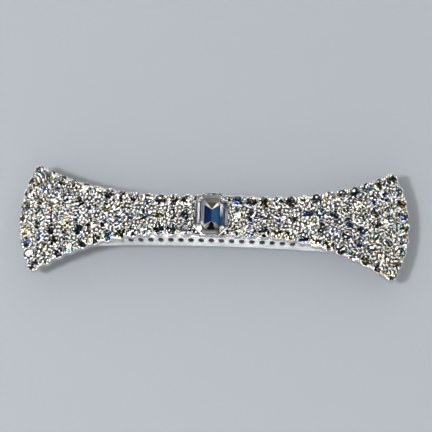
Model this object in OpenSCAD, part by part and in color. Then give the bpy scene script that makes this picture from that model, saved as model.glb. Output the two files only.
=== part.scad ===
// Bow-shaped rhinestone barrette with a squeeze-catch clip, closed, standing on its clasp arm.
// X runs along the clip (hinge at -X, catch at +X), +Y is the rear, +Z is up.
// The origin is the middle of the clasp arm's flat underside. All sizes are millimetres.

/* [Bow frame] */
// Overall length of the bow
bow_length = 102; // [100:1:104]
// Width of a wing across its two corners, before they are rounded
wing_width = 29.8; // [29:0.2:30.4]
// Width of the narrow waist
waist_width = 11; // [10.8:0.1:11.2]
// Half the length of the straight part of the waist
waist_half_length = 11.5; // [10:0.5:13]
// How far each curved end stands out past its corners
end_bulge = 4.5; // [4:0.1:5]
// Radius of the arch along the length, at the top face
arch_radius = 170; // [165:5:185]
// Thickness of the cast frame
frame_thickness = 2.3; // [2.2:0.1:2.4]
// Height of the top face at the middle of the arch
crown_height = 14; // [13.9:0.1:14.4]

/* [Round stones] */
// Diameter of a round stone
stone_diameter = 3; // [2.8:0.05:3]
// Columns of round stones on each wing
stone_columns = 13; // [11:1:13]
// Distance along the arch from the middle to the first column
first_column = 6.5; // [6.5:0.1:7]
// Distance along the arch from the middle to the last column
last_column = 49.8; // [49.5:0.1:50]
// How far the last column bulges outward
column_bulge = 3.3; // [3.1:0.1:3.4]
// How quickly the columns take up that bulge
bulge_power = 1.3; // [1.2:0.1:2]
// Distance from an edge stone's centre to the side of the frame
edge_margin = 1.72; // [1.7:0.01:1.8]
// Smallest spacing of the stones within a column
column_pitch = 3.27; // [3.27:0.01:3.5]

/* [Centre stone] */
// Length of the centre stone, across the waist
center_length = 10; // [9.6:0.1:10]
// Width of the centre stone, along the clip
center_width = 8; // [7.6:0.1:8]
// Size of its cut corners
center_corner = 2.1; // [1.9:0.1:2.2]
// Height of its crown above the widest line
center_crown = 1.2; // [1:0.1:1.4]
// Depth of its pavilion below the widest line
center_pavilion = 2.3; // [2:0.1:2.3]

/* [Clip base] */
// Half-length of the clip base along the arch
base_half_length = 38.5; // [38:0.5:39]
// Thickness of the stamped base
base_thickness = 0.7; // [0.6:0.1:0.7]
// Half-width of the flat web of the base
web_half_width = 5.3; // [5.2:0.1:5.4]
// Half-width across the lower edges of the sloping flanges
flange_half_width = 6.9; // [6.8:0.1:7]
// How far the flanges drop below the top of the web
flange_drop = 2.4; // [2.3:0.1:2.5]
// Diameter of the holes in the flanges
flange_hole = 1.5; // [1.2:0.1:1.6]
// Spacing of the holes in the flanges
flange_pitch = 2.65; // [2.6:0.05:2.7]
// Holes to each side of the middle one
holes_each_side = 13; // [10:1:13]

/* [Clasp arm] */
// Distance of the hinge axis from the middle
hinge_x = -36.5; // [-37:0.1:-36]
// Height of the hinge axis
hinge_z = 2.6; // [2.5:0.1:2.7]
// Radius of the hinge pin
pin_radius = 0.55; // [0.5:0.05:0.6]
// Half-width of the clasp arm
arm_half_width = 3.9; // [3.8:0.1:3.9]
// Thickness of the arm's strip
arm_thickness = 0.8; // [0.7:0.1:0.8]
// Height of the stiffening lips along the arm
arm_lip_height = 1.4; // [1.2:0.1:1.4]

/* [Tension spring] */
// Height of the bow spring's lowest point
spring_height = 5.6; // [5.6:0.1:5.8]
// Rise of the bow spring from its middle to its ends
spring_rise = 0.5; // [0.4:0.1:0.5]
// Thickness of the bow spring
spring_thickness = 0.4; // [0.3:0.1:0.4]
// Half-width of the bow spring
spring_half_width = 2.6; // [2.4:0.1:2.7]

/* [Hidden] */
// Facets of a full turn in the preview; above 12 every turn is a true curve
$fn = 48;
arch_facets = 720;
// Room between two pieces that are soldered, glued or set
seam = 0.03;
// Running clearance of a pin in its bore
running = 0.06;
// How far a cutting shape reaches past what it cuts
over = 1;

arch_center_z = crown_height - arch_radius;
frame_under_radius = arch_radius - frame_thickness;
web_top_radius = frame_under_radius - seam;
web_under_radius = web_top_radius - base_thickness;
flange_thickness = 0.5;
// Drop of the flange holes below the top of the web
flange_hole_drop = 1.05;

stone_radius = stone_diameter / 2;
girdle_height = 0.12;
stone_crown = 0.5;
stone_pavilion = 1.35;
table_radius = 0.56 * stone_radius;
culet_radius = 0.1;
// The lower edge of a round stone's girdle lies this far under the frame's top face
girdle_sink = 0.15;

// The centre stone's widest line stands this far over the frame's top face
center_girdle = 0.9;
center_band = 0.2;
setting_wall = 0.6;
setting_corner = 2.3;
basket_corner = 0.8;
basket_depth = 1.7;
basket_length = 8;
basket_width = 6;
claw_radius = 0.42;
claw_rise = 0.75;

catch_x = 35;
catch_half_length = 3;
catch_half_width = 2.6;
catch_thickness = 0.5;
catch_rivet_radius = 0.8;
catch_rivet_head = 1.3;
keeper_x = 29.9;
keeper_foot = 2.4;
keeper_half_width = 2;

finger_half_length = 1.8;
finger_inner = 2;
finger_gap = 0.18;
finger_thickness = 0.5;
finger_foot_z = 0.7;
finger_hook_height = 0.8;
finger_hook_reach = 0.25;
tab_z = 4.1;
tab_reach = 5.6;
tab_thickness = 0.5;
tab_turn_up = 1.1;

arm_flat_end = 31.2;
arm_tip = 40.5;
arm_lift_length = 1.6;
arm_end_z = 1.9;
arm_window_half_length = 2.3;
arm_window_half_width = 2.9;
arm_lip_thickness = 0.6;
arm_ear_radius = 1.1;
arm_ear_thickness = 0.6;
arm_ear_reach = 2.5;
arm_slot_length = 40;
arm_slot_width = 2.4;

base_ear_inner = arm_half_width + 0.2;
base_ear_thickness = 0.6;
base_ear_radius = 1.2;
base_ear_reach = 5;
base_ear_step = 2.4;
pin_head_radius = 0.95;
pin_head_thickness = 0.35;

spring_hinge_end = -33;
spring_catch_end = 29.3;
spring_tab_length = 1.2;
spring_tab_reach = 4.9;
spring_slot_play = 0.2;
spring_travel = 0.9;
spring_rest_gap = 0.1;

silver = "silver";
steel = "lightsteelblue";
crystal = "aliceblue";

function two_digits(n) = n < 10 ? str("0", n) : str(n);
LEFT_STONES = [for (k = [1 : stone_columns]) str("left_stones_", two_digits(k))];
RIGHT_STONES = [for (k = [1 : stone_columns]) str("right_stones_", two_digits(k))];

// ---- Shape of the bow, seen from above ----

// Radius of the flared sides: an arc that leaves the waist straight and meets the wing's corner
corner_x = bow_length / 2 - end_bulge;
flare_run = corner_x - waist_half_length;
flare_rise = (wing_width - waist_width) / 2;
flare_radius = (pow(flare_run, 2) + pow(flare_rise, 2)) / (2 * flare_rise);
end_radius = (pow(wing_width / 2, 2) + pow(end_bulge, 2)) / (2 * end_bulge);
end_center = bow_length / 2 - end_radius;

function past_waist(x) = max(0, abs(x) - waist_half_length);
// Half-width of the bow at a distance x from the middle
function half_width(x) = waist_width / 2 + flare_radius - sqrt(pow(flare_radius, 2) - pow(past_waist(x), 2));
// Slope angle of the flared side there
function flare_angle(x) = asin(past_waist(x) / flare_radius);

// ---- Places of the round stones, as [distance along the arch, y] ----

function column_apex(k) = first_column + (last_column - first_column) * k / (stone_columns - 1);
function column_sagitta(k) = max(0.02, column_bulge * pow(k / (stone_columns - 1), bulge_power));
function arch_x(s) = arch_radius * sin(arch_angle(s));
function arch_angle(s) = s / arch_radius * 180 / PI;
function column_reach(x) = half_width(x) - edge_margin / cos(flare_angle(x));
function column_end(k) = column_reach(arch_x(column_apex(k) - column_sagitta(k)));
function column_radius(k) = (pow(column_end(k), 2) + pow(column_sagitta(k), 2)) / (2 * column_sagitta(k));
function column_half_angle(k) = asin(min(1, column_end(k) / column_radius(k)));
function column_arc(k) = 2 * column_radius(k) * column_half_angle(k) * PI / 180;
function column_count(k) = floor(column_arc(k) / column_pitch) + 1;
function stone_turn(k, i) = column_half_angle(k) * (2 * i / (column_count(k) - 1) - 1);
function stone_place(k, i) = [
    column_apex(k) - column_radius(k) * (1 - cos(stone_turn(k, i))),
    column_radius(k) * sin(stone_turn(k, i))
];

// Where the last column's outermost stone stands; the wing's corner is rounded about it
corner_column = stone_columns - 1;
corner_stone = [
    arch_x(column_apex(corner_column) - column_sagitta(corner_column)),
    column_end(corner_column)
];

// ---- Helpers ----

// Puts its children on the arch's top face, upright to it, at distance s along the arch
module on_arch(s, y = 0) {
    translate([0, y, arch_center_z])
        rotate([0, arch_angle(s), 0])
            translate([0, 0, arch_radius])
                children();
}

// Turns a profile of [radius, y] points about the arch's axis, over the angles from..to
module arch_sweep(points, from, to) {
    translate([0, 0, arch_center_z])
        rotate([-90, 0, 0])
            rotate([0, 0, from - 90])
                rotate_extrude(angle = to - from, $fn = arch_facets)
                    polygon(points);
}

// The full cylinder inside a given arch radius
module arch_core(radius) {
    translate([0, 0, arch_center_z])
        rotate([90, 0, 0])
            cylinder(h = 2 * wing_width, r = radius, center = true, $fn = arch_facets);
}

// A plate that stands in the XZ plane, from y = low to y = high
module side_plate(low, high) {
    translate([0, high, 0])
        rotate([90, 0, 0])
            linear_extrude(height = high - low)
                children();
}

// A cylinder along Y, centred on the hinge axis
module hinge_cylinder(radius, half_length) {
    translate([hinge_x, 0, hinge_z])
        rotate([90, 0, 0])
            cylinder(h = 2 * half_length, r = radius, center = true);
}

module mirrored_y() {
    children();
    mirror([0, 1, 0])
        children();
}

// A rectangle with its four corners cut off
function cut_rectangle(length_y, width_x, cut) = let(a = width_x / 2, b = length_y / 2) [
    [a, cut - b], [a, b - cut], [a - cut, b], [cut - a, b],
    [-a, b - cut], [-a, cut - b], [cut - a, -b], [a - cut, -b]
];

// ---- Bow frame ----

// What the flared upper and lower sides take away, to the right of the middle
module flare_cuts() {
    for (side = [-1, 1])
        translate([waist_half_length, side * (waist_width / 2 + flare_radius)])
            circle(r = flare_radius, $fn = arch_facets);
}

// What is cut off a wing's rear corner, which is rounded about the corner stone
module corner_chip() {
    to_side = 90 + flare_angle(corner_stone[0]);
    to_end = atan2(corner_stone[1], corner_stone[0] - end_center);
    side_line = (edge_margin + over) * [cos(to_side), sin(to_side)];
    end_line = (edge_margin + over) * [cos(to_end), sin(to_end)];
    translate(corner_stone)
        difference() {
            polygon([[0, 0], end_line, end_line + side_line, side_line]);
            circle(r = edge_margin);
        }
}

// One half of the bow, seen from above, from the middle to its curved end
module half_outline() {
    difference() {
        intersection() {
            translate([0, -wing_width])
                square([bow_length, 2 * wing_width]);
            translate([end_center, 0])
                circle(r = end_radius, $fn = arch_facets);
        }
        flare_cuts();
        for (side = [-1, 1])
            translate([-over, side > 0 ? waist_width / 2 : -waist_width / 2 - wing_width])
                square([waist_half_length + over, wing_width]);
        mirrored_y()
            corner_chip();
    }
}

module stone_seat() {
    translate([0, 0, -girdle_sink])
        cylinder(h = girdle_sink + over, r = stone_radius + seam);
    translate([0, 0, -girdle_sink - stone_pavilion - seam])
        cylinder(h = stone_pavilion + seam, r1 = culet_radius, r2 = stone_radius + seam);
}

module at_stones(k) {
    for (i = [0 : column_count(k) - 1])
        on_arch(stone_place(k, i)[0], stone_place(k, i)[1])
            children();
}

module bow_blank() {
    intersection() {
        difference() {
            arch_core(arch_radius);
            arch_core(frame_under_radius);
        }
        linear_extrude(height = 2 * crown_height)
            union() {
                half_outline();
                mirror([1, 0])
                    half_outline();
            }
    }
}

module bow_frame() {
    color(silver)
        difference() {
            bow_blank();
            for (k = [0 : stone_columns - 1]) {
                at_stones(k)
                    stone_seat();
                mirror([1, 0, 0])
                    at_stones(k)
                        stone_seat();
            }
            translate([-basket_width / 2, -basket_length / 2, crown_height - frame_thickness - over])
                cube([basket_width, basket_length, frame_thickness + 2 * over]);
        }
}

// ---- Round stones ----

module round_stone() {
    translate([0, 0, -girdle_sink - stone_pavilion])
        cylinder(h = stone_pavilion, r1 = culet_radius, r2 = stone_radius);
    translate([0, 0, -girdle_sink])
        cylinder(h = girdle_height, r = stone_radius);
    translate([0, 0, girdle_height - girdle_sink])
        cylinder(h = stone_crown, r1 = stone_radius, r2 = table_radius);
}

module stone_column(k) {
    color(crystal)
        at_stones(k)
            round_stone();
}

// ---- Centre stone and its setting ----

// Levels of the step cut, from the keel up, as [height over the widest line, inset from it]
step_levels = [
    [-center_band - center_pavilion, 3.4],
    [-center_band - 0.45 * center_pavilion, 1.25],
    [-center_band, 0],
    [0, 0],
    [0.6 * center_crown, 1],
    [center_crown, 1.75]
];

// The octagon at one inset; its corners shrink so that the border stays even
function step_octagon(inset, room) = cut_rectangle(
    center_length - 2 * inset + 2 * room,
    center_width - 2 * inset + 2 * room,
    max(0.1, center_corner - (2 - sqrt(2)) * inset)
);

// One layer of the step cut, between two levels
module step_layer(low, high, room) {
    thin = 0.001;
    hull() {
        translate([0, 0, low[0]])
            linear_extrude(height = thin)
                polygon(step_octagon(low[1], room));
        translate([0, 0, high[0] - thin])
            linear_extrude(height = thin)
                polygon(step_octagon(high[1], room));
    }
}

module step_cut(room) {
    translate([0, 0, crown_height + center_girdle])
        for (i = [1 : len(step_levels) - 1])
            step_layer(step_levels[i - 1], step_levels[i], room);
}

module center_stone() {
    color("steelblue")
        step_cut(0);
}

module center_setting() {
    outer_length = center_length + 2 * setting_wall;
    outer_width = center_width + 2 * setting_wall;
    color(silver)
        difference() {
            union() {
                translate([0, 0, crown_height + seam])
                    linear_extrude(height = center_girdle - seam)
                        polygon(cut_rectangle(outer_length, outer_width, setting_corner));
                translate([0, 0, crown_height - basket_depth])
                    linear_extrude(height = basket_depth + over / 2)
                        polygon(cut_rectangle(basket_length - 2 * seam, basket_width - 2 * seam, basket_corner));
                corner_claws();
            }
            step_cut(seam);
        }
}

// Four claws that rise at the stone's cut corners
module corner_claws() {
    claw_x = center_width / 2 - center_corner / 2 + claw_radius / sqrt(2);
    claw_y = center_length / 2 - center_corner / 2 + claw_radius / sqrt(2);
    for (sx = [-1, 1])
        for (sy = [-1, 1])
            translate([sx * claw_x, sy * claw_y, crown_height + seam])
                cylinder(h = center_girdle + claw_rise, r = claw_radius);
}

// ---- Clip base ----

// Half-width across the flanges' outer faces at one drop below the top of the web
function flange_y(drop) = web_half_width + (flange_half_width - web_half_width) * drop / flange_drop;

module clip_base() {
    half_angle = arch_angle(base_half_length);
    inner_y = flange_y(base_thickness) - flange_thickness;
    flange_foot = web_top_radius - flange_drop;
    profile = [
        [web_top_radius, -web_half_width], [web_top_radius, web_half_width],
        [flange_foot, flange_half_width], [flange_foot, flange_half_width - flange_thickness],
        [web_under_radius, inner_y], [web_under_radius, -inner_y],
        [flange_foot, flange_thickness - flange_half_width], [flange_foot, -flange_half_width]
    ];
    color(silver)
        difference() {
            union() {
                arch_sweep(profile, -half_angle, half_angle);
                mirrored_y()
                    base_ear();
            }
            for (i = [-holes_each_side : holes_each_side])
                mirrored_y()
                    flange_hole_at(i * flange_pitch);
            hinge_cylinder(pin_radius + seam / 2, web_half_width + over);
            spring_slots();
            on_arch(catch_x)
                translate([0, 0, -frame_thickness - 2 * over])
                    cylinder(h = 2 * over, r = catch_rivet_radius + seam);
        }
}

// A hinge ear folded down from the web's edge
module base_ear() {
    intersection() {
        side_plate(base_ear_inner, base_ear_inner + base_ear_thickness) {
            translate([hinge_x, hinge_z])
                circle(r = base_ear_radius);
            translate([hinge_x - base_ear_radius, hinge_z])
                square([2 * base_ear_radius, crown_height]);
            translate([hinge_x - base_ear_radius, hinge_z + base_ear_step])
                square([base_ear_radius + base_ear_reach, crown_height]);
        }
        arch_core(web_top_radius - base_thickness / 2);
    }
}

// A hole through the sloping flange, square to its face
module flange_hole_at(s) {
    slope = atan2(flange_drop, flange_half_width - web_half_width);
    on_arch(s)
        translate([0, flange_y(flange_hole_drop) - flange_thickness / 2, -frame_thickness - flange_hole_drop])
            rotate([-slope, 0, 0])
                cylinder(h = 2 * over, r = flange_hole / 2, center = true);
}

// Slots in the ears that hold the bow spring's end tabs and let them rise
module spring_slots() {
    translate([
        spring_hinge_end - spring_slot_play,
        -web_half_width,
        spring_z(spring_hinge_end) - spring_slot_play
    ])
        cube([
            spring_tab_length + 2 * spring_slot_play,
            2 * web_half_width,
            spring_thickness + spring_travel + 2 * spring_slot_play
        ]);
}

module hinge_pin() {
    half = base_ear_inner + base_ear_thickness;
    color(steel)
        union() {
            hinge_cylinder(pin_radius, half + pin_head_thickness / 2);
            for (side = [-1, 1])
                translate([hinge_x, side * (half + seam + pin_head_thickness / 2), hinge_z])
                    rotate([90, 0, 0])
                        cylinder(h = pin_head_thickness, r = pin_head_radius, center = true);
        }
}

// ---- Clasp arm ----

module clasp_arm() {
    color(silver)
        difference() {
            union() {
                arm_strip();
                mirrored_y()
                    arm_side();
                arm_end();
            }
            hinge_cylinder(pin_radius + running, arm_half_width + over);
            arm_stiffening_slot();
            translate([catch_x - arm_window_half_length, -arm_window_half_width, arm_end_z - over])
                cube([2 * arm_window_half_length, 2 * arm_window_half_width, arm_thickness + 2 * over]);
        }
}

module arm_strip() {
    translate([hinge_x, -arm_half_width, 0])
        cube([arm_flat_end - hinge_x, 2 * arm_half_width, arm_thickness]);
}

// A stiffening lip that runs into the hinge ear
module arm_side() {
    side_plate(arm_half_width - arm_lip_thickness, arm_half_width)
        translate([hinge_x, 0])
            square([arm_flat_end - hinge_x, arm_lip_height]);
    side_plate(arm_half_width - arm_ear_thickness, arm_half_width) {
        translate([hinge_x, hinge_z])
            circle(r = arm_ear_radius);
        translate([hinge_x - arm_ear_radius, 0])
            square([arm_ear_radius + arm_ear_reach, hinge_z]);
    }
}

// The raised end: a riser, a frame around the catch's window and a finger lift
module arm_end() {
    riser_start = arm_flat_end - arm_thickness;
    lift_start = arm_tip - arm_lift_length;
    translate([riser_start, -arm_half_width, 0])
        cube([arm_thickness, 2 * arm_half_width, arm_end_z + arm_thickness]);
    translate([riser_start, -arm_half_width, arm_end_z])
        cube([lift_start - riser_start, 2 * arm_half_width, arm_thickness]);
    translate([lift_start, 0, arm_end_z])
        intersection() {
            cylinder(h = arm_thickness, r = arm_half_width);
            translate([-over, -arm_half_width, 0])
                cube([arm_tip - lift_start + over, 2 * arm_half_width, arm_thickness]);
        }
}

// A long slot with round ends, pressed out of the middle of the strip
module arm_stiffening_slot() {
    translate([0, 0, -over])
        linear_extrude(height = arm_thickness + 2 * over)
            union() {
                square([arm_slot_length, arm_slot_width], center = true);
                for (side = [-1, 1])
                    translate([side * arm_slot_length / 2, 0])
                        circle(r = arm_slot_width / 2);
            }
}

// ---- Bow spring ----

spring_half_span = (spring_catch_end - spring_hinge_end) / 2;
spring_middle = (spring_catch_end + spring_hinge_end) / 2;
spring_radius = (pow(spring_half_span, 2) + pow(spring_rise, 2)) / (2 * spring_rise);
// Height of the spring's underside at a distance x from the middle of the clip
function spring_z(x) = spring_height + spring_radius
    - sqrt(pow(spring_radius, 2) - pow(x - spring_middle, 2));

module bow_spring() {
    axis_z = spring_height + spring_radius;
    color(steel)
        intersection() {
            translate([spring_middle, 0, axis_z])
                rotate([90, 0, 0])
                    difference() {
                        cylinder(h = 2 * web_half_width, r = spring_radius, center = true, $fn = 4 * arch_facets);
                        cylinder(
                            h = 2 * web_half_width + over,
                            r = spring_radius - spring_thickness,
                            center = true,
                            $fn = 4 * arch_facets
                        );
                    }
            translate([0, 0, spring_height - over])
                linear_extrude(height = spring_rise + spring_thickness + 2 * over)
                    spring_outline();
        }
}

module spring_outline() {
    union() {
        translate([spring_hinge_end, -spring_half_width])
            square([spring_catch_end - spring_hinge_end - spring_half_width, 2 * spring_half_width]);
        translate([spring_hinge_end, -spring_tab_reach])
            square([spring_tab_length, 2 * spring_tab_reach]);
        translate([spring_catch_end - spring_half_width, 0])
            circle(r = spring_half_width);
    }
}

// ---- Catch ----

module catch_plate() {
    top = web_under_radius - seam;
    start = arch_angle(keeper_x);
    finish = arch_angle(catch_x + catch_half_length);
    color(steel)
        difference() {
            union() {
                arch_sweep(
                    [
                        [top, -catch_half_width], [top, catch_half_width],
                        [top - catch_thickness, catch_half_width], [top - catch_thickness, -catch_half_width]
                    ],
                    start, finish
                );
                spring_keeper();
            }
            on_arch(catch_x)
                translate([0, 0, -frame_thickness - 2 * over])
                    cylinder(h = 2 * over, r = catch_rivet_radius + seam);
        }
}

// A tongue folded down from the catch plate, whose foot keeps the bow spring's free end
module spring_keeper() {
    foot_z = spring_z(keeper_x - keeper_foot) - spring_rest_gap - catch_thickness;
    intersection() {
        side_plate(-keeper_half_width, keeper_half_width) {
            translate([keeper_x - catch_thickness / 4, foot_z])
                square([catch_thickness, crown_height]);
            translate([keeper_x - keeper_foot, foot_z])
                square([keeper_foot, catch_thickness]);
        }
        arch_core(web_under_radius - seam);
    }
}

module catch_rivet() {
    under = base_thickness + catch_thickness + 3 * seam;
    color(steel)
        on_arch(catch_x)
            translate([0, 0, -frame_thickness])
                union() {
                    translate([0, 0, -under])
                        cylinder(h = under - 2 * seam, r = catch_rivet_radius);
                    translate([0, 0, -under - catch_thickness])
                        cylinder(h = catch_thickness, r = catch_rivet_head);
                }
}

// One sprung finger of the catch, at the rear; the front one is its mirror image
module catch_finger() {
    color(steel)
        intersection() {
            translate([catch_x, 0, 0]) {
                translate([-finger_half_length, finger_inner, finger_foot_z])
                    cube([2 * finger_half_length, finger_thickness, crown_height]);
                translate([-finger_half_length, finger_inner, finger_foot_z])
                    cube([2 * finger_half_length, finger_thickness + finger_hook_reach, finger_hook_height]);
                translate([-finger_half_length, finger_inner, tab_z])
                    cube([2 * finger_half_length, tab_reach - finger_inner, tab_thickness]);
                translate([-finger_half_length, tab_reach - tab_thickness, tab_z - tab_turn_up])
                    cube([2 * finger_half_length, tab_thickness, tab_turn_up + tab_thickness]);
            }
            arch_core(web_under_radius - seam - catch_thickness - finger_gap);
        }
}

module catch_finger_rear() {
    catch_finger();
}

module catch_finger_front() {
    mirror([0, 1, 0])
        catch_finger();
}

bow_frame();
center_setting();
center_stone();
for (k = [0 : stone_columns - 1]) {
    mirror([1, 0, 0]) stone_column(k);
    stone_column(k);
}
clip_base();
hinge_pin();
catch_plate();
catch_rivet();
clasp_arm();
bow_spring();
catch_finger_front();
catch_finger_rear();
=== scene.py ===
"""Looks of the bow-shaped rhinestone barrette: stones, claws, plated metal, light and camera.

Lengths are millimetres in the functions that build meshes, and become metres when a mesh is stored.
"""

import math
import random

import bmesh
import bpy
from mathutils import Matrix, Vector


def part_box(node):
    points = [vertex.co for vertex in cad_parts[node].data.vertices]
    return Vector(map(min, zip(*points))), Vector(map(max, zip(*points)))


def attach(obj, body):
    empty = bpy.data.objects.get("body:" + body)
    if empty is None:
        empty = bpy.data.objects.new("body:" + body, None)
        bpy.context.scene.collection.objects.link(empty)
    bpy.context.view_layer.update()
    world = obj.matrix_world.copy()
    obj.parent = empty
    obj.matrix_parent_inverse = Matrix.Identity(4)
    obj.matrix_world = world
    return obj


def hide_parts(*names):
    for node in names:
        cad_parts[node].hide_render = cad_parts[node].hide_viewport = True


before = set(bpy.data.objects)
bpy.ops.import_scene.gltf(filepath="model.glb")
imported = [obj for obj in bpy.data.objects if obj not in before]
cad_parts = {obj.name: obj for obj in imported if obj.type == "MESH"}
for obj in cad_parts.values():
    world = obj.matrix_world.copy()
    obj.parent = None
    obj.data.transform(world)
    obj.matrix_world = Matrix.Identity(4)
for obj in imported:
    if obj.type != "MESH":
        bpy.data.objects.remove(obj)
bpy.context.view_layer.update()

MM = 0.001
# Columns of round stones on each wing
COLUMNS = 13
# Vertices of a CAD mesh this close together, in metres, are one vertex
MERGE_DISTANCE = 1e-6

# ---- The arch that the bow follows, in millimetres ----

ARCH_RADIUS = 170.0
CROWN_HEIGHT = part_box("bow_frame")[1].z / MM
ARCH_CENTER = CROWN_HEIGHT - ARCH_RADIUS

# ---- Camera: its direction, distance and lens, and the point it looks at ----

VIEW_AZIMUTH = 11.82
VIEW_ELEVATION = 73.33
VIEW_ROLL = -9.84
VIEW_DISTANCE = 400.0
LENS = 131.0
SENSOR = 36.0
# The nearest and farthest things that the camera sees, in metres
CLIP_NEAR = 0.01
CLIP_FAR = 20
# The crown of the bow lies this far left of and above the middle of the picture
CROWN_LEFT = 1.12
CROWN_UP = 0.25

# ---- Round stone: a brilliant cut, with its girdle just under the frame's face ----

STONE_RADIUS = 1.49
TABLE_RADIUS = 0.83
STAR_RADIUS = 1.18
GIRDLE_LOW = -0.15
GIRDLE_HIGH = -0.04
STONE_TOP = 0.46
CULET_DEPTH = -1.48
# Distance from the axis at which the lower facets meet in pairs
PAVILION_BREAK = 0.62
# Main facets of the cut, sides of its girdle, and the angle of half a main facet
MAINS = 8
GIRDLE_SIDES = 2 * MAINS
HALF_TURN = 180 / MAINS
# Each stone leans by up to this many degrees in its cup
STONE_TILT = 4.0

# ---- Plan of the bow, as in the CAD, in millimetres ----

HALF_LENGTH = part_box("bow_frame")[1].x / MM
HALF_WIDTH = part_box("bow_frame")[1].y / MM
HALF_WING = 14.9
HALF_WAIST = 5.5
WAIST_HALF_LENGTH = 11.5
END_BULGE = 4.5
FRAME_THICKNESS = 2.3
# Distance from an edge stone's centre to the frame's edge
EDGE_MARGIN = 1.72
# How far the edge is drawn in, at most, between two edge stones
SCALLOP_DEPTH = 0.7
# Points along the curved end's rear half and along the whole rear side
END_STEPS = 96
SIDE_STEPS = 400
# A mitred corner moves in by at most the inset divided by this
MITRE_LIMIT = 0.5

# The well for the centre stone's basket: its reach along and across the bow, and its floor
BASKET_REACH = 3.1
WELL_HALF = 4.05
WELL_FLOOR = -1.76
# The floor beside the well stops this far inside the waist's side
WELL_MARGIN = 1.0

# ---- Cups, claws and beads of the round stones ----

# The cups stand up from a floor that lies this far under the frame's top face
CUP_FLOOR = -1.56
CUP_INNER = 1.52
CUP_OUTER = 1.67
CUP_TOP = -0.03
CUP_SIDES = 32
# A cup's section, as (radius, height), from its outer foot over the lip to its inner foot
CUP_PROFILE = [
    (CUP_OUTER - 0.2, CUP_FLOOR - 0.1), (CUP_OUTER, -0.3), (CUP_OUTER, CUP_TOP - 0.05),
    (CUP_OUTER - 0.05, CUP_TOP), (CUP_INNER + 0.03, CUP_TOP), (CUP_INNER, CUP_TOP - 0.04),
    (CUP_INNER, -0.3), (CUP_INNER - 0.2, CUP_FLOOR - 0.1),
]
# The claws of each cup are turned by up to this many degrees
CUP_TURN = 6
CLAWS = 4
CLAW_RADIUS = 0.27
CLAW_OUT = 1.68
CLAW_IN = 1.26
CLAW_TOP = 0.33
CLAW_SIDES = 10
# A claw from foot to tip, as (distance from the stone's axis, height, radius)
CLAW_SECTIONS = [
    (CLAW_OUT, CUP_FLOOR, 0.8 * CLAW_RADIUS),
    (CLAW_OUT, -0.1, CLAW_RADIUS),
    (CLAW_OUT - 0.02, 0.1, CLAW_RADIUS),
    (CLAW_OUT - 0.1, 0.24, 0.95 * CLAW_RADIUS),
    (CLAW_OUT - 0.23, CLAW_TOP, 0.75 * CLAW_RADIUS),
    (CLAW_IN, CLAW_TOP + 0.03, 0.45 * CLAW_RADIUS),
]
# Height of a claw's rounded tip, in radii of its last section
CLAW_TIP = 0.25
# Cast beads fill the gaps between the cups
BEAD_RADIUS = 0.45
BEAD_SPACING = 0.95
BEAD_TOP = 0.12
BEAD_SIDES = 14
# A bead's section from the foot up, as (share of its radius, height)
BEAD_PROFILE = [
    (1.0, CUP_FLOOR - 0.05), (1.0, BEAD_TOP - 0.4), (0.9, BEAD_TOP - 0.2),
    (0.62, BEAD_TOP - 0.06), (0.3, BEAD_TOP - 0.01),
]
# Places for beads are tried on a grid of this step, where the gap to the nearest cup is in range
BEAD_STEP = 0.25
BEAD_GAP_LOW = 0.15
BEAD_GAP_HIGH = 1.3
# Smallest distance from a bead's centre to the frame's edge, and how far a bead runs into the cups
BEAD_MARGIN = 0.75
BEAD_OVERLAP = 0.08


# ---- Places on the arch ----

def arch_matrix(s, y, turn=0.0):
    """Stands a local frame on the arch's top face, at distance s along it: its Z is the normal."""
    place = Matrix.Translation((0, y, ARCH_CENTER))
    return (
        place
        @ Matrix.Rotation(s / ARCH_RADIUS, 4, "Y")
        @ Matrix.Translation((0, 0, ARCH_RADIUS))
        @ Matrix.Rotation(turn, 4, "Z")
    )


def along_arch(point):
    """Distance along the arch of a point in the row frame, in millimetres."""
    return ARCH_RADIUS * math.atan2(point.x / MM, point.z / MM - ARCH_CENTER)


def islands(mesh):
    """The separate solids of a mesh, as lists of its vertices."""
    parent = list(range(len(mesh.vertices)))

    def root(i):
        while parent[i] != i:
            parent[i] = parent[parent[i]]
            i = parent[i]
        return i

    for edge in mesh.edges:
        a, b = edge.vertices
        parent[root(a)] = root(b)
    groups = {}
    for vertex in mesh.vertices:
        groups.setdefault(root(vertex.index), []).append(vertex)
    return list(groups.values())


def merge_by_place(mesh):
    """Joins vertices that share a place, so that each solid of an imported mesh is one island."""
    joined = bmesh.new()
    joined.from_mesh(mesh)
    bmesh.ops.remove_doubles(joined, verts=joined.verts, dist=MERGE_DISTANCE)
    merged = bpy.data.meshes.new("merged")
    joined.to_mesh(merged)
    joined.free()
    return merged


def stone_places(node):
    """(distance along the arch, y) of each round stone in a CAD node, from front to rear."""
    merged = merge_by_place(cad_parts[node].data)
    places = []
    for group in islands(merged):
        s = [along_arch(v.co) for v in group]
        y = [v.co.y / MM for v in group]
        places.append(((min(s) + max(s)) / 2, (min(y) + max(y)) / 2))
    bpy.data.meshes.remove(merged)
    return sorted(places, key=lambda place: place[1])


def column_turns(places):
    """The direction of the column at each of its stones, as an angle from the arch's length."""
    turns = []
    for i in range(len(places)):
        before = places[max(0, i - 1)]
        after = places[min(len(places) - 1, i + 1)]
        turns.append(math.atan2(after[1] - before[1], after[0] - before[0]))
    return turns


# ---- Mesh building ----

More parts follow.
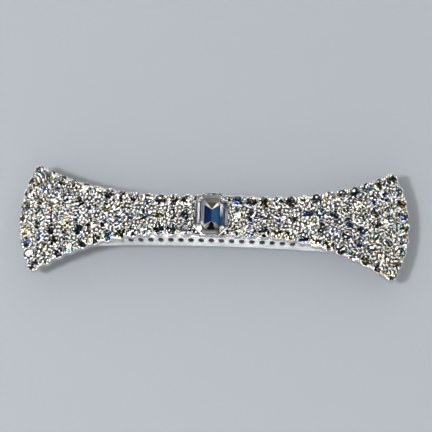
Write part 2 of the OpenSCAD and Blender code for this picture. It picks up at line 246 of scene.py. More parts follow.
class Shape:
    """Collects vertices and faces, with a material number and a tint for each face; a foiled facet's
    tint is a painted reflection.
    """

    def __init__(self):
        self.points = []
        self.faces = []
        self.slots = []
        self.reflection_tints = []

    def add(self, points, faces, matrix, slot=0, reflection_tints=None):
        """Adds a mesh at a place; slot is one material number, or one for each face."""
        base = len(self.points)
        self.points += [matrix @ Vector(p) for p in points]
        self.faces += [[base + i for i in face] for face in faces]
        self.slots += [slot] * len(faces) if isinstance(slot, int) else list(slot)
        self.reflection_tints += reflection_tints or [WHITE_LIGHT] * len(faces)

    def piece(self, name, body, slot, materials, smooth=False):
        """Makes the Blender object, which rides on a body; the slot argument is not used."""
        mesh = bpy.data.meshes.new(name)
        mesh.from_pydata([p * MM for p in self.points], [], self.faces)
        mesh.update()
        for material in materials:
            mesh.materials.append(material)
        mesh.polygons.foreach_set("material_index", self.slots)
        mesh.polygons.foreach_set("use_smooth", [smooth] * len(self.faces))
        # Each face's tint goes into this attribute, which the foil shows as a painted reflection
        tint = mesh.color_attributes.new("facet_painted_reflection", "FLOAT_COLOR", "CORNER")
        colors = []
        for face, color in zip(self.faces, self.reflection_tints):
            colors += [*color, 1.0] * len(face)
        tint.data.foreach_set("color", colors)
        obj = bpy.data.objects.new(name, mesh)
        bpy.context.scene.collection.objects.link(obj)
        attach(obj, body)
        return obj


def polar(radius, degrees, z):
    """A point at a radius and an angle about Z, at height z."""
    angle = math.radians(degrees)
    return (radius * math.cos(angle), radius * math.sin(angle), z)


def bands(rings, sides, closed=False):
    """Faces between rings of points; a closed skin joins the last ring to the first."""
    faces = []
    for i in range(rings if closed else rings - 1):
        after = (i + 1) % rings
        for j in range(sides):
            k = (j + 1) % sides
            faces.append([i * sides + j, i * sides + k, after * sides + k, after * sides + j])
    return faces


def tip_fan(rings, sides):
    """Faces from the last ring of points to a single point that follows it."""
    last = (rings - 1) * sides
    return [[last + j, last + (j + 1) % sides, last + sides] for j in range(sides)]


# ---- Materials ----

# Changes of tone of the plating and clouding of the foil, in features per metre
TONE_SCALE = 160
CLOUD_SCALE = 900
CLOUD_COLOR = (0.86, 0.87, 0.9)
WHITE_LIGHT = (1.0, 1.0, 1.0)
# Detail of the polishing marks, and their depth in metres
MARK_DETAIL = 5.0
MARK_DEPTH = 0.00002
# Most of a noise's values lie between these two
NOISE_LOW = 0.3
NOISE_HIGH = 0.7


def new_material(name):
    material = bpy.data.materials.new(name)
    material.use_nodes = True
    tree = material.node_tree
    return material, tree, tree.nodes["Principled BSDF"]


def noise(tree, scale, stretch=(1, 1, 1), detail=3.0, roughness=0.55):
    """A noise texture over the row frame; scale is in features per metre."""
    place = tree.nodes.new("ShaderNodeTexCoord")
    mapping = tree.nodes.new("ShaderNodeMapping")
    mapping.inputs["Scale"].default_value = stretch
    texture = tree.nodes.new("ShaderNodeTexNoise")
    texture.inputs["Scale"].default_value = scale
    texture.inputs["Detail"].default_value = detail
    texture.inputs["Roughness"].default_value = roughness
    tree.links.new(place.outputs["Object"], mapping.inputs["Vector"])
    tree.links.new(mapping.outputs["Vector"], texture.inputs["Vector"])
    return texture.outputs["Fac"]


def spread(tree, value, low, high):
    """Maps the middle of a noise to the range low..high."""
    node = tree.nodes.new("ShaderNodeMapRange")
    node.inputs["From Min"].default_value = NOISE_LOW
    node.inputs["From Max"].default_value = NOISE_HIGH
    node.inputs["To Min"].default_value = low
    node.inputs["To Max"].default_value = high
    tree.links.new(value, node.inputs["Value"])
    return node.outputs["Result"]


def blend_colors(tree, factor, first, second):
    node = tree.nodes.new("ShaderNodeMix")
    node.data_type = "RGBA"
    colors = [socket for socket in node.inputs if socket.type == "RGBA"]
    colors[0].default_value = (*first, 1)
    colors[1].default_value = (*second, 1)
    tree.links.new(factor, node.inputs[0])
    return [socket for socket in node.outputs if socket.type == "RGBA"][0]


def bump(tree, shader, height, strength, distance):
    node = tree.nodes.new("ShaderNodeBump")
    node.inputs["Strength"].default_value = strength
    node.inputs["Distance"].default_value = distance
    tree.links.new(height, node.inputs["Height"])
    tree.links.new(node.outputs["Normal"], shader.inputs["Normal"])


def metal(name, bright, dull, roughness, grain, relief, stretch=(1, 1, 1)):
    """Plated metal: slow changes of tone, fine polishing marks in the gloss and a little relief."""
    material, tree, shader = new_material(name)
    shader.inputs["Metallic"].default_value = 1.0
    tone = spread(tree, noise(tree, TONE_SCALE), 0.0, 1.0)
    tree.links.new(blend_colors(tree, tone, dull, bright), shader.inputs["Base Color"])
    marks = noise(tree, grain, stretch, detail=MARK_DETAIL)
    tree.links.new(spread(tree, marks, *roughness), shader.inputs["Roughness"])
    bump(tree, shader, marks, relief, MARK_DEPTH)
    return material


def glass(name, color, ior):
    material, _, shader = new_material(name)
    shader.inputs["Base Color"].default_value = (*color, 1)
    shader.inputs["Transmission Weight"].default_value = 1.0
    shader.inputs["Roughness"].default_value = 0.0
    shader.inputs["IOR"].default_value = ior
    return material


def foil(name, roughness):
    """The mirror foil behind a stone: each facet has its own tone, a painted reflection, with faint
    clouding.
    """
    material, tree, shader = new_material(name)
    shader.inputs["Metallic"].default_value = 1.0
    shader.inputs["Roughness"].default_value = roughness
    tint = tree.nodes.new("ShaderNodeVertexColor")
    tint.layer_name = "facet_painted_reflection"
    cloud = spread(tree, noise(tree, CLOUD_SCALE), 0.0, 1.0)
    clouding = blend_colors(tree, cloud, CLOUD_COLOR, WHITE_LIGHT)
    mix = tree.nodes.new("ShaderNodeMix")
    mix.data_type = "RGBA"
    mix.blend_type = "MULTIPLY"
    mix.inputs[0].default_value = 1.0
    colors = [socket for socket in mix.inputs if socket.type == "RGBA"]
    tree.links.new(tint.outputs["Color"], colors[0])
    tree.links.new(clouding, colors[1])
    out = [socket for socket in mix.outputs if socket.type == "RGBA"][0]
    tree.links.new(out, shader.inputs["Base Color"])
    return material


# Brushed marks are drawn out along the clip
ALONG_CLIP = (0.15, 1, 1)
CAST_SILVER = metal(
    "cast_silver", bright=(0.88, 0.87, 0.85), dull=(0.68, 0.68, 0.68),
    roughness=(0.08, 0.2), grain=1400, relief=0.12,
)
CLIP_SILVER = metal(
    "clip_silver", bright=(0.93, 0.93, 0.93), dull=(0.78, 0.78, 0.79),
    roughness=(0.16, 0.34), grain=900, relief=0.1, stretch=ALONG_CLIP,
)
# The clasp arm: painted shade, a darkened copy of the clip's silver that makes the shade under the
# clip, seen through the flange's holes, look deeper
ARM_SHADED_SILVER = metal(
    "arm_shaded_silver", bright=(0.52, 0.52, 0.54), dull=(0.40, 0.40, 0.42),
    roughness=(0.16, 0.34), grain=900, relief=0.1, stretch=ALONG_CLIP,
)
SPRING_STEEL = metal(
    "spring_steel", bright=(0.66, 0.67, 0.70), dull=(0.50, 0.51, 0.54),
    roughness=(0.2, 0.38), grain=2500, relief=0.25, stretch=(0.04, 1, 1),
)
# The recesses between the cups: painted shade, a darkened metal that stands for the shade falling
# among the stones
RECESS_PAINTED_SHADE = metal(
    "recess_painted_shade", bright=(0.09, 0.09, 0.10), dull=(0.03, 0.03, 0.035),
    roughness=(0.22, 0.4), grain=1400, relief=0.3,
)
CRYSTAL = glass("crystal", WHITE_LIGHT, ior=1.58)
STONE_FOIL = foil("stone_foil", roughness=0.0)
CENTER_FOIL = foil("center_foil", roughness=0.3)

# Painted reflections in the foil of the round stones' facets: tones standing for the bright light,
# sky and dark surroundings that the facets mirror, and how often each comes up
REFLECTION_TONES = [
    ((0.97, 0.97, 0.97), 10),  # bright
    ((0.98, 0.88, 0.64), 4),  # cream
    ((0.74, 0.75, 0.77), 3),  # grey
    ((0.24, 0.34, 0.60), 3),  # slate blue
    ((0.42, 0.37, 0.22), 3),  # olive
    ((0.08, 0.11, 0.26), 1),  # navy
    ((0.02, 0.02, 0.03), 4),  # black
    ((0.62, 0.90, 0.88), 1),  # sea green
]
DRAW = random.Random(4)


def random_reflection_tone():
    return DRAW.choices([tone for tone, _ in REFLECTION_TONES], [weight for _, weight in REFLECTION_TONES])[0]


# ---- Round stones ----

def brilliant():
    """Points, glass faces and foiled faces of one brilliant-cut stone."""
    bezel_slope = (STONE_TOP - GIRDLE_HIGH) / (STONE_RADIUS - TABLE_RADIUS)
    middle = math.cos(math.radians(HALF_TURN))
    star_z = GIRDLE_HIGH + bezel_slope * (STONE_RADIUS - STAR_RADIUS * middle)
    depth = GIRDLE_LOW - CULET_DEPTH
    break_z = CULET_DEPTH + depth * PAVILION_BREAK * middle / STONE_RADIUS
    points = [polar(TABLE_RADIUS, HALF_TURN * (2 * i + 1), STONE_TOP) for i in range(MAINS)]
    points += [polar(STAR_RADIUS, HALF_TURN * 2 * i, star_z) for i in range(MAINS)]
    points += [polar(STONE_RADIUS, HALF_TURN * i, GIRDLE_HIGH) for i in range(GIRDLE_SIDES)]
    points += [polar(STONE_RADIUS, HALF_TURN * i, GIRDLE_LOW) for i in range(GIRDLE_SIDES)]
    points += [polar(PAVILION_BREAK, HALF_TURN * (2 * i + 1), break_z) for i in range(MAINS)]
    points += [(0, 0, CULET_DEPTH)]

    def table(i):
        return i % MAINS

    def star(i):
        return MAINS + i % MAINS

    def upper(i):
        return 2 * MAINS + i % GIRDLE_SIDES

    def lower(i):
        return 2 * MAINS + GIRDLE_SIDES + i % GIRDLE_SIDES

    def inner(i):
        return 2 * MAINS + 2 * GIRDLE_SIDES + i % MAINS

    culet = len(points) - 1
    clear = [list(range(MAINS))]
    backed = []
    for i in range(MAINS):
        clear.append([star(i), table(i), table(i - 1)])
        clear.append([table(i), star(i), upper(2 * i + 1), star(i + 1)])
        clear.append([star(i), upper(2 * i - 1), upper(2 * i)])
        clear.append([star(i), upper(2 * i), upper(2 * i + 1)])
        backed.append([culet, inner(i), lower(2 * i), inner(i - 1)])
        backed.append([inner(i), lower(2 * i + 1), lower(2 * i)])
        backed.append([inner(i), lower(2 * i + 2), lower(2 * i + 1)])
    for i in range(GIRDLE_SIDES):
        clear.append([upper(i), lower(i), lower(i + 1), upper(i + 1)])
    return points, clear, backed


def stone_column(side, number):
    """The stones of one CAD column, as one piece."""
    node = f"{side}_stones_{number:02d}"
    points, clear, backed = brilliant()
    slots = [0] * len(clear) + [1] * len(backed)
    shape = Shape()
    for s, y in stone_places(node):
        tilt = Matrix.Rotation(math.radians(DRAW.uniform(0, STONE_TILT)), 4, "X")
        spin = Matrix.Rotation(DRAW.uniform(0, 2 * math.pi), 4, "Z")
        matrix = arch_matrix(s, y, DRAW.uniform(0, 2 * math.pi)) @ tilt @ spin
        # The foiled facets get painted reflections; the glass facets stay white
        reflection_tints = [WHITE_LIGHT] * len(clear) + [random_reflection_tone() for _ in backed]
        shape.add(points, clear + backed, matrix, slots, reflection_tints)
    piece = shape.piece(f"{node}_cut", "bow", "crystal", [CRYSTAL, STONE_FOIL])
    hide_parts(node)


# ---- Claws, cups and beads ----

def round_claw():
    """A rounded prong beside a stone, which bends in over it; the stone's axis is Z."""
    points = []
    for out, z, radius in CLAW_SECTIONS:
        ring = [polar(radius, 360 * j / CLAW_SIDES, z) for j in range(CLAW_SIDES)]
        points += [(out + x, y, z) for x, y, z in ring]
    out, z, radius = CLAW_SECTIONS[-1]
    points.append((out, 0, z + CLAW_TIP * radius))
    faces = bands(len(CLAW_SECTIONS), CLAW_SIDES) + tip_fan(len(CLAW_SECTIONS), CLAW_SIDES)
    faces.append(list(range(CLAW_SIDES))[::-1])
    return points, faces


def cup_ring():
    """One stone's cup, a thin ring with a rounded lip."""
    points = [polar(r, 360 * j / CUP_SIDES, z) for r, z in CUP_PROFILE for j in range(CUP_SIDES)]
    return points, bands(len(CUP_PROFILE), CUP_SIDES, closed=True)


def bead(radius):
    """A low dome of a given radius, which stands on the floor between the cups."""
    points = [
        polar(share * radius, 360 * j / BEAD_SIDES, z)
        for share, z in BEAD_PROFILE
        for j in range(BEAD_SIDES)
    ]
    points.append((0, 0, BEAD_TOP))
    faces = [list(range(BEAD_SIDES))[::-1]]
    faces += bands(len(BEAD_PROFILE), BEAD_SIDES) + tip_fan(len(BEAD_PROFILE), BEAD_SIDES)
    return points, faces


def wing_stones(side):
    """The places of a wing's stones, column by column."""
    return [stone_places(f"{side}_stones_{number:02d}") for number in range(1, COLUMNS + 1)]


def bead_places(stones, sign):
    """(distance along the arch, y, radius) of the beads, the widest gaps first."""
    rows = int(HALF_WING / BEAD_STEP)
    candidates = []
    for i in range(int(HALF_LENGTH / BEAD_STEP)):
        for j in range(-rows, rows + 1):
            s = sign * i * BEAD_STEP
            y = j * BEAD_STEP
            gap = min(math.hypot(s - stone[0], y - stone[1]) for stone in stones) - CUP_OUTER
            if BEAD_GAP_LOW < gap < BEAD_GAP_HIGH and inside_outline(along_x(s), y, BEAD_MARGIN):
                candidates.append((gap, s, y))
    beads = []
    for gap, s, y in sorted(candidates, reverse=True):
        if all(math.hypot(s - other[0], y - other[1]) > BEAD_SPACING for other in beads):
            beads.append((s, y, min(BEAD_RADIUS, gap + BEAD_OVERLAP)))
    return beads


def stone_cups():
    """The cups, claws and beads around all round stones, cast in one with the frame."""
    cup = cup_ring()
    claw = round_claw()
    for side, sign in (("left", -1), ("right", 1)):
        shape = Shape()
        columns = wing_stones(side)
        for places in columns:
            for (s, y), turn in zip(places, column_turns(places)):
                matrix = arch_matrix(s, y, turn + math.radians(DRAW.uniform(-CUP_TURN, CUP_TURN)))
                shape.add(*cup, matrix)
                for claw_number in range(CLAWS):
                    around = math.radians(360 / CLAWS * (claw_number + 0.5))
                    stand = matrix @ Matrix.Rotation(around, 4, "Z")
                    foot = stand @ Vector((CLAW_OUT, 0, 0))
                    room = HALF_WIDTH - abs(foot.y)
                    if room > CLAW_RADIUS and inside_outline(foot.x, foot.y, CLAW_RADIUS):
                        shape.add(*claw, stand)
        for s, y, radius in bead_places([place for places in columns for place in places], sign):
            shape.add(*bead(radius), arch_matrix(s, y))
        shape.piece(f"{side}_cups", "bow", "cast_silver", [CAST_SILVER], smooth=True)


# ---- Cast frame: scalloped rim, floor between the cups, and plain back ----

END_RADIUS = (HALF_WING ** 2 + END_BULGE ** 2) / (2 * END_BULGE)
END_CENTER = HALF_LENGTH - END_RADIUS
# The back and the cups' floor stop this far inside the plain outline
FLAT_INSET = 1.0
# The wall and rim between them, as (distance in from the scalloped edge, level from the top face)
RIM = [
    (0.14, -FRAME_THICKNESS), (0.04, -FRAME_THICKNESS + 0.04), (0.0, -FRAME_THICKNESS + 0.14),
    (0.0, -0.2), (0.03, -0.08), (0.09, -0.03), (0.15, -0.06), (0.18, -0.2), (0.19, CUP_FLOOR),
]


def along_x(s):
    """The x of a point of the top face at a distance s along the arch."""
    return ARCH_RADIUS * math.sin(s / ARCH_RADIUS)


def inside_outline(x, y, margin):
    """Whether a point of the plan lies at least a margin inside the bow's outline."""
    in_end = math.hypot(abs(x) - END_CENTER, y) < END_RADIUS - margin
    return in_end and abs(y) < side_half_width(x) - margin


def side_half_width(x):
    """Half the bow's width at x: straight along the waist, then flared on a circular arc."""
    rise = HALF_WING - HALF_WAIST
    run = HALF_LENGTH - END_BULGE - WAIST_HALF_LENGTH
    radius = (run * run + rise * rise) / (2 * rise)
    past = max(0.0, abs(x) - WAIST_HALF_LENGTH)
    return HALF_WAIST + radius - math.sqrt(radius * radius - past * past)


def rear_outline():
    """Points of the outline's rear half, from the left end over the waist to the right end."""
    corner = math.asin(HALF_WING / END_RADIUS)
    end = []
    for i in range(END_STEPS):
        turn = corner * i / END_STEPS
        end.append((END_CENTER + END_RADIUS * math.cos(turn), END_RADIUS * math.sin(turn)))
    corner_x = HALF_LENGTH - END_BULGE
    side = [corner_x * (2 * i / SIDE_STEPS - 1) for i in range(SIDE_STEPS + 1)]
    left = [(-x, y) for x, y in end]
    return left + [(x, side_half_width(x)) for x in side] + end[::-1]


def scalloped(points):
    """The rear outline, drawn in toward the nearest stone wherever it runs wide of it."""
    centers = []
    for side in ("left", "right"):
        for places in wing_stones(side):
            centers += [(along_x(s), y) for s, y in places if y > -EDGE_MARGIN]
    drawn = []
    for x, y in points:
        distance, center = min((math.hypot(x - c[0], y - c[1]), c) for c in centers)
        shift = min(SCALLOP_DEPTH, max(0.0, distance - EDGE_MARGIN)) / distance
        drawn.append((x + (center[0] - x) * shift, y + (center[1] - y) * shift))
    drawn[0] = (drawn[0][0], 0.0)
    drawn[-1] = (drawn[-1][0], 0.0)
    return drawn


def inset_outline(points, inset):
    """The rear outline moved inward, with mitred corners."""
    moved = []
    for i, (x, y) in enumerate(points):
        if i in (0, len(points) - 1):
            moved.append((x - math.copysign(inset, x), y))
            continue
        before = Vector((x - points[i - 1][0], y - points[i - 1][1])).normalized()
        after = Vector((points[i + 1][0] - x, points[i + 1][1] - y)).normalized()
        inward_before = Vector((before.y, -before.x))
        inward_after = Vector((after.y, -after.x))
        bisector = (inward_before + inward_after).normalized()
        step = inset / max(MITRE_LIMIT, bisector.dot(inward_after))
        moved.append((x + bisector.x * step, y + bisector.y * step))
    return moved


def at_level(x, y, level):
    """A point of the plan, lifted to a level measured from the arch's top face."""
    return (x, y, ARCH_CENTER + math.sqrt((ARCH_RADIUS + level) ** 2 - x * x))


def basket_well(places):
    """The floor around the centre stone's basket, at the given x places, with a well for it."""
    edge = HALF_WAIST - WELL_MARGIN
    across = [
        (-edge, CUP_FLOOR), (-WELL_HALF, CUP_FLOOR), (-WELL_HALF, WELL_FLOOR),
        (WELL_HALF, WELL_FLOOR), (WELL_HALF, CUP_FLOOR), (edge, CUP_FLOOR),
    ]
    points = [at_level(x, y, level) for x in places for y, level in across]
    size = len(across)
    faces = []
    for i in range(len(places) - 1):
        for j in range(size - 1):
            a = i * size + j
            faces.append([a, a + size, a + size + 1, a + 1])
    last = (len(places) - 1) * size
    faces.append([1, 2, 3, 4])
    faces.append([last + 4, last + 3, last + 2, last + 1])
    return points, faces


def cast_frame():
    """The frame's body: a closed shell of back, side wall, rim and the floor of the cups."""
    plain = rear_outline()
    edge = scalloped(plain)
    sections = [(plain, FLAT_INSET, -FRAME_THICKNESS)]
    sections += [(edge, inset, level) for inset, level in RIM]
    sections += [(plain, FLAT_INSET, CUP_FLOOR)]
    points = []
    for outline, inset, level in sections:
        loop = inset_outline(outline, inset)
        loop += [(x, -y) for x, y in loop[-2:0:-1]]
        points += [at_level(x, y, level) for x, y in loop]
    count = len(plain)
    size = 2 * count - 2
    faces = []
    # Material 0 is the cast silver; 1, from the rim's inner wall inward, is the recess metal with
    # painted shade
    slots = []
    first_painted_shade = len(sections) - 3
    for i in range(len(sections) - 1):
        for j in range(size):
            k = (j + 1) % size
            faces.append([i * size + k, i * size + j, (i + 1) * size + j, (i + 1) * size + k])
            slots.append(1 if i >= first_painted_shade else 0)
    for base, is_floor in ((0, False), ((len(sections) - 1) * size, True)):
        for i in range(count - 1):
            if is_floor and max(abs(plain[i][0]), abs(plain[i + 1][0])) < BASKET_REACH:
                continue
            front = (size - i) % size
            next_front = size - i - 1
            face = [base + i, base + i + 1, base + next_front, base + front]
            # At the two ends of the bow the front and rear points are the same one
            face = list(dict.fromkeys(face))
            faces.append(face[::-1] if is_floor else face)
            # The floor of the cups takes material 1, the painted shade
            slots.append(1 if is_floor else 0)
    shape = Shape()
    shape.add(points, faces, Matrix.Identity(4), slots)
    places = [x for x, _ in plain if abs(x) < BASKET_REACH]
    # The well around the basket takes material 1 too, painted shade
    shape.add(*basket_well(sorted(places)), Matrix.Identity(4), 1)
    piece = shape.piece("bow_frame_cast", "bow", "cast_silver", [CAST_SILVER, RECESS_PAINTED_SHADE])
    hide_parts("bow_frame")


# ---- Centre stone and its setting ----

CENTER_LENGTH = 10.0
CENTER_WIDTH = 8.0
CENTER_CORNER = 2.1
# Height of its girdle in the row frame
CENTER_GIRDLE = CROWN_HEIGHT + 0.9
# Sides of its outline, and the smallest cut of its corners
OCTAGON = 8
SMALLEST_CORNER = 0.25
# Steps of the cut above the girdle, as (height over the girdle, inset)
CROWN_STEPS = [(0.0, 0.0), (0.5, 0.5), (0.9, 1.1), (1.19, 1.75)]
# Steps below it, from the lowest up, as (height, half-width, half-length, cut of the corners)
PAVILION_STEPS = [
    (-2.15, 0.79, 2.26, 0.25), (-1.8, 1.9, 3.25, 0.6), (-1.48, 2.32, 3.58, 0.75),
    (-1.1, 2.85, 3.97, 1.0), (-0.65, 3.42, 4.45, 1.45), (-0.2, 4.0, 5.0, 2.1),
]
KEEL_DEPTH = -2.4
KEEL_HALF = 1.55

# Tones of its foil, which are painted reflections of sky, light and dark surroundings
BLUE = (0.038, 0.105, 0.25)
NAVY = (0.012, 0.028, 0.13)
DUSK = (0.09, 0.085, 0.19)
SLATE = (0.24, 0.33, 0.44)
WHITE = (0.97, 0.97, 0.95)
PEARL = (0.64, 0.61, 0.55)
TAUPE = (0.12, 0.10, 0.08)
UMBER = (0.02, 0.018, 0.015)
ICE = (0.70, 0.82, 0.95)
# The facets' painted reflections in rows from the keel up, each row from the right side round by the
# rear
REFLECTION_ROWS = [
    [BLUE, WHITE, TAUPE, WHITE, NAVY, PEARL, UMBER, PEARL],
    [BLUE, WHITE, TAUPE, WHITE, NAVY, PEARL, UMBER, PEARL],
    [BLUE, PEARL, PEARL, WHITE, WHITE, TAUPE, PEARL, TAUPE],
    [SLATE, WHITE, PEARL, PEARL, NAVY, WHITE, UMBER, WHITE],
    [BLUE, PEARL, WHITE, TAUPE, WHITE, TAUPE, PEARL, ICE],
    [DUSK, WHITE, PEARL, WHITE, DUSK, WHITE, ICE, WHITE],
]


def cut_octagon(a, b, cut, z):
    """A rectangle of half-width a and half-length b with cut corners, at height z."""
    return [
        (a, cut - b, z), (a, b - cut, z), (a - cut, b, z), (cut - a, b, z),
        (-a, b - cut, z), (-a, cut - b, z), (cut - a, -b, z), (a - cut, -b, z),
    ]


def step_ring(inset, z):
    """The centre stone's outline, drawn in by an inset, at a height z over its girdle."""
    cut = max(SMALLEST_CORNER, CENTER_CORNER - (2 - math.sqrt(2)) * inset)
    return cut_octagon(CENTER_WIDTH / 2 - inset, CENTER_LENGTH / 2 - inset, cut, z)


def center_stone():
    """The step-cut octagon: glass steps above the girdle, foiled steps down to a keel."""
    rings = [cut_octagon(a, b, cut, z) for z, a, b, cut in PAVILION_STEPS]
    rings += [step_ring(inset, z) for z, inset in CROWN_STEPS]
    points = [point for ring in rings for point in ring]
    faces = bands(len(rings), OCTAGON)
    foiled = OCTAGON * (len(PAVILION_STEPS) - 1)
    slots = [1] * foiled + [0] * (len(faces) - foiled)
    # Foiled facets take the painted reflections; the glass facets stay white
    facet_reflections = [tone for row in REFLECTION_ROWS[1:] for tone in row] + [WHITE] * (len(faces) - foiled)
    faces.append([OCTAGON * (len(rings) - 1) + i for i in range(OCTAGON)])
    slots.append(0)
    facet_reflections.append(WHITE)
    points += [(0, -KEEL_HALF, KEEL_DEPTH), (0, KEEL_HALF, KEEL_DEPTH)]
    front = len(points) - 2
    rear = len(points) - 1
    # The lowest step closes on the keel, which has a front and a rear end
    faces += [
        [1, 0, front, rear], [2, 1, rear], [3, 2, rear], [4, 3, rear],
        [5, 4, rear, front], [6, 5, front], [7, 6, front], [0, 7, front],
    ]
    slots += [1] * OCTAGON
    facet_reflections += REFLECTION_ROWS[0]
    shape = Shape()
    shape.add(points, faces, Matrix.Translation((0, 0, CENTER_GIRDLE)), slots, facet_reflections)
    piece = shape.piece("center_stone_cut", "bow", "center_crystal", [CRYSTAL, CENTER_FOIL])
    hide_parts("center_stone")


# The setting's wall around the stone, as (room outside the girdle, height over the girdle)
SETTING_WALL = [
    (0.6, -0.86), (0.6, -0.14), (0.54, -0.04), (0.42, 0.0),
    (0.16, 0.0), (0.05, -0.06), (0.03, -0.2), (0.03, -0.86),
]
# The basket under the stone, let into the frame, as (half-width, half-length, corner cut, height)
BASKET = [
    (2.97, 3.97, 0.8, -2.6), (2.97, 3.97, 0.8, -1.25), (2.78, 3.92, 0.7, -1.25),
    (1.97, 3.32, 0.22, -1.84), (0.04, 1.65, 0.02, -2.46), (0.04, 1.65, 0.02, -2.6),
]
# A folded corner claw, as (outward from the stone's corner facet, height, half-width)
CORNER_CLAW = [
    (0.62, -0.86, 0.85), (0.62, -0.1, 0.85), (0.56, 0.12, 0.85), (0.4, 0.28, 0.82),
    (0.1, 0.4, 0.78), (-0.25, 0.52, 0.7), (-0.55, 0.7, 0.58), (-0.8, 0.87, 0.38),
]
CORNER_CLAW_THICKNESS = 0.26
# Its flat faces take up this share of its width, and its section has this many sides
CLAW_FLAT = 0.8
CLAW_SECTION_SIDES = 6


def closed_loops(rings):
    """Points and faces of a skin through octagon rings, whose last ring joins the first."""
    points = [point for ring in rings for point in ring]
    return points, bands(len(rings), OCTAGON, closed=True)


def folded_claw():
    """A flat claw that rises outside a corner facet and folds over it; its outward axis is X."""
    points = []
    for i, (out, z, half) in enumerate(CORNER_CLAW):
        after = CORNER_CLAW[min(i + 1, len(CORNER_CLAW) - 1)]
        before = CORNER_CLAW[max(i - 1, 0)]
        along = Vector((after[0] - before[0], after[1] - before[1])).normalized()
        normal = Vector((along.y, -along.x)) * CORNER_CLAW_THICKNESS / 2
        flat = CLAW_FLAT * half
        points += [
            (out + normal.x, -flat, z + normal.y), (out + normal.x, flat, z + normal.y),
            (out, half, z), (out - normal.x, flat, z - normal.y),
            (out - normal.x, -flat, z - normal.y), (out, -half, z),
        ]
    first = list(range(CLAW_SECTION_SIDES))
    last = [len(points) - CLAW_SECTION_SIDES + j for j in first]
    faces = [first[::-1]] + bands(len(CORNER_CLAW), CLAW_SECTION_SIDES) + [last]
    return points, faces


def center_setting():
    """The wall around the centre stone, the basket below it and four claws over its corners."""
    place = Matrix.Translation((0, 0, CENTER_GIRDLE))
    shape = Shape()
    wall = [step_ring(-room, z) for room, z in SETTING_WALL]
    shape.add(*closed_loops(wall), place)
    shape.add(*closed_loops([cut_octagon(*section) for section in BASKET]), place)
    points, faces = folded_claw()
    corner_x = (CENTER_WIDTH - CENTER_CORNER) / 2
    corner_y = (CENTER_LENGTH - CENTER_CORNER) / 2
    for sx, sy, turn in ((1, 1, 45), (-1, 1, 135), (-1, -1, 225), (1, -1, 315)):
        corner = Matrix.Translation((sx * corner_x, sy * corner_y, 0))
        shape.add(points, faces, place @ corner @ Matrix.Rotation(math.radians(turn), 4, "Z"))
    piece = shape.piece("center_setting_cast", "bow", "cast_silver", [CAST_SILVER])
    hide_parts("center_setting")


# ---- CAD pieces that stay, with their finishes ----

def finish_cad_nodes():
    """Gives the pieces of the clip, which keep their CAD shapes, their metals."""
    finishes = {
        "clip_base": CLIP_SILVER,
        # The clasp arm's darkened silver is painted shade
        "clasp_arm": ARM_SHADED_SILVER,
        "hinge_pin": SPRING_STEEL,
        "catch_plate": SPRING_STEEL,
        "catch_rivet": SPRING_STEEL,
        "bow_spring": SPRING_STEEL,
        "catch_finger_front": SPRING_STEEL,
        "catch_finger_rear": SPRING_STEEL,
    }
    for node, material in finishes.items():
        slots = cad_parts[node].data.materials
        slots.clear()
        slots.append(material)


# ---- Studio ----

# Half the floor's width in metres, its colour and its roughness
FLOOR_HALF = 3.0
FLOOR_COLOR = (0.305, 0.329, 0.366)
FLOOR_ROUGHNESS = 0.9
# The plain backdrop that the camera sees past the edge of the floor
BACKDROP = (0.56, 0.58, 0.61)
# Colours of the surroundings by height, where 0 is the horizon and below and 1 is straight up
SKY_COLORS = [
    (0.0, (0.20, 0.20, 0.21)),
    (0.25, (1.0, 0.97, 0.90)),
    (0.7, (0.98, 0.95, 0.88)),
    (1.0, (0.84, 0.84, 0.82)),
]
# Round panels of light in the surroundings: cells per unit of direction, radius, soft edge and
# brightness
PANEL_SCALE = 14.0
PANEL_RADIUS = 0.25
PANEL_EDGE = 0.06
PANEL_LIGHT = 11.5
# The dim light of the gaps between them, and its colour
GAP_LIGHT = 0.03
GAP_COLOR = (0.62, 0.78, 1.0)
# Lamps, as (name, azimuth, elevation, distance, size, power)
LAMPS = [
    ("key", -120, 63, 0.9, 0.12, 5.4),
    ("front_low", 178, 9, 0.9, 0.3, 0.75),
]


def floor():
    mesh = bpy.data.meshes.new("floor")
    corners = [(-1, -1), (1, -1), (1, 1), (-1, 1)]
    mesh.from_pydata([(FLOOR_HALF * x, FLOOR_HALF * y, 0) for x, y in corners], [], [[0, 1, 2, 3]])
    material, _, shader = new_material("pale_floor")
    shader.inputs["Base Color"].default_value = (*FLOOR_COLOR, 1)
    shader.inputs["Roughness"].default_value = FLOOR_ROUGHNESS
    mesh.materials.append(material)
    obj = bpy.data.objects.new("floor", mesh)
    bpy.context.scene.collection.objects.link(obj)


def backdrop_shader(tree, color, strength):
    node = tree.nodes.new("ShaderNodeBackground")
    node.inputs["Color"].default_value = (*color, 1)
    node.inputs["Strength"].default_value = strength
    return node.outputs["Background"]


def mixed_shader(tree, factor, first, second):
    node = tree.nodes.new("ShaderNodeMixShader")
    tree.links.new(factor, node.inputs["Fac"])
    tree.links.new(first, node.inputs[1])
    tree.links.new(second, node.inputs[2])
    return node.outputs["Shader"]


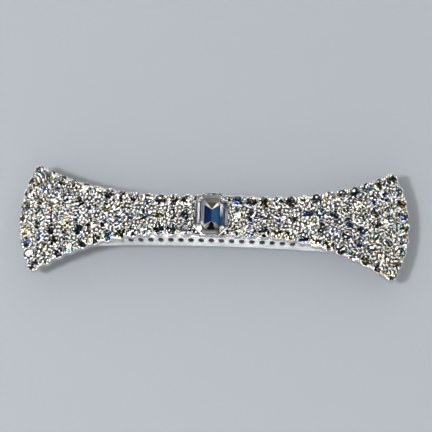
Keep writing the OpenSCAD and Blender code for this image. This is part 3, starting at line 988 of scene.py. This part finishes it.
def sky():
    """Surroundings with soft round panels of light that the facets mirror, hidden from the camera."""
    world = bpy.data.worlds.new("studio")
    bpy.context.scene.world = world
    world.use_nodes = True
    tree = world.node_tree
    background = tree.nodes["Background"]
    place = tree.nodes.new("ShaderNodeTexCoord")
    split = tree.nodes.new("ShaderNodeSeparateXYZ")
    ramp = tree.nodes.new("ShaderNodeValToRGB")
    tree.links.new(place.outputs["Generated"], split.inputs[0])
    tree.links.new(split.outputs["Z"], ramp.inputs["Fac"])
    tree.links.new(ramp.outputs["Color"], background.inputs["Color"])
    first, *rest = SKY_COLORS
    ramp.color_ramp.elements[0].position = first[0]
    ramp.color_ramp.elements[0].color = (*first[1], 1)
    ramp.color_ramp.elements[1].position = rest[-1][0]
    ramp.color_ramp.elements[1].color = (*rest[-1][1], 1)
    for position, color in rest[:-1]:
        element = ramp.color_ramp.elements.new(position)
        element.color = (*color, 1)
    cells = tree.nodes.new("ShaderNodeTexVoronoi")
    cells.inputs["Scale"].default_value = PANEL_SCALE
    panel = tree.nodes.new("ShaderNodeMapRange")
    panel.inputs["From Min"].default_value = PANEL_RADIUS
    panel.inputs["From Max"].default_value = PANEL_RADIUS + PANEL_EDGE
    tree.links.new(place.outputs["Generated"], cells.inputs["Vector"])
    tree.links.new(cells.outputs["Distance"], panel.inputs["Value"])
    background.inputs["Strength"].default_value = PANEL_LIGHT
    gaps = backdrop_shader(tree, GAP_COLOR, GAP_LIGHT)
    lit = mixed_shader(tree, panel.outputs["Result"], background.outputs[0], gaps)
    seen = tree.nodes.new("ShaderNodeLightPath").outputs["Is Camera Ray"]
    whole = mixed_shader(tree, seen, lit, backdrop_shader(tree, BACKDROP, 1.0))
    tree.links.new(whole, tree.nodes["World Output"].inputs["Surface"])


def softbox(name, azimuth, elevation, distance, size, power):
    """A square area light that faces the clip; azimuth 0 is behind the clip, 90 at its right."""
    az = math.radians(azimuth)
    el = math.radians(elevation)
    light = bpy.data.lights.new(name, "AREA")
    light.size = size
    light.energy = power
    obj = bpy.data.objects.new(name, light)
    direction = Vector((math.sin(az) * math.cos(el), math.cos(az) * math.cos(el), math.sin(el)))
    obj.location = direction * distance
    obj.rotation_euler = direction.to_track_quat("Z", "Y").to_euler()
    bpy.context.scene.collection.objects.link(obj)


def camera():
    az = math.radians(VIEW_AZIMUTH)
    el = math.radians(VIEW_ELEVATION)
    roll = math.radians(VIEW_ROLL)
    back = Vector((math.sin(az) * math.cos(el), -math.cos(az) * math.cos(el), math.sin(el)))
    side = Vector((0, 0, 1)).cross(back).normalized()
    rise = back.cross(side)
    right = math.cos(roll) * side + math.sin(roll) * rise
    up = math.cos(roll) * rise - math.sin(roll) * side
    target = Vector((0, 0, CROWN_HEIGHT)) + CROWN_LEFT * right - CROWN_UP * up
    data = bpy.data.cameras.new("camera")
    data.lens = LENS
    data.sensor_width = SENSOR
    data.clip_start = CLIP_NEAR
    data.clip_end = CLIP_FAR
    obj = bpy.data.objects.new("camera", data)
    turn = Matrix((right, up, back)).transposed()
    obj.matrix_world = Matrix.Translation((target + VIEW_DISTANCE * back) * MM) @ turn.to_4x4()
    bpy.context.scene.collection.objects.link(obj)
    bpy.context.scene.camera = obj


def studio():
    floor()
    sky()
    for lamp in LAMPS:
        softbox(*lamp)
    settings = bpy.context.scene.view_settings
    settings.view_transform = "Standard"
    settings.look = "None"


finish_cad_nodes()
for column in range(1, COLUMNS + 1):
    stone_column("left", column)
    stone_column("right", column)
cast_frame()
stone_cups()
center_stone()
center_setting()
studio()
camera()
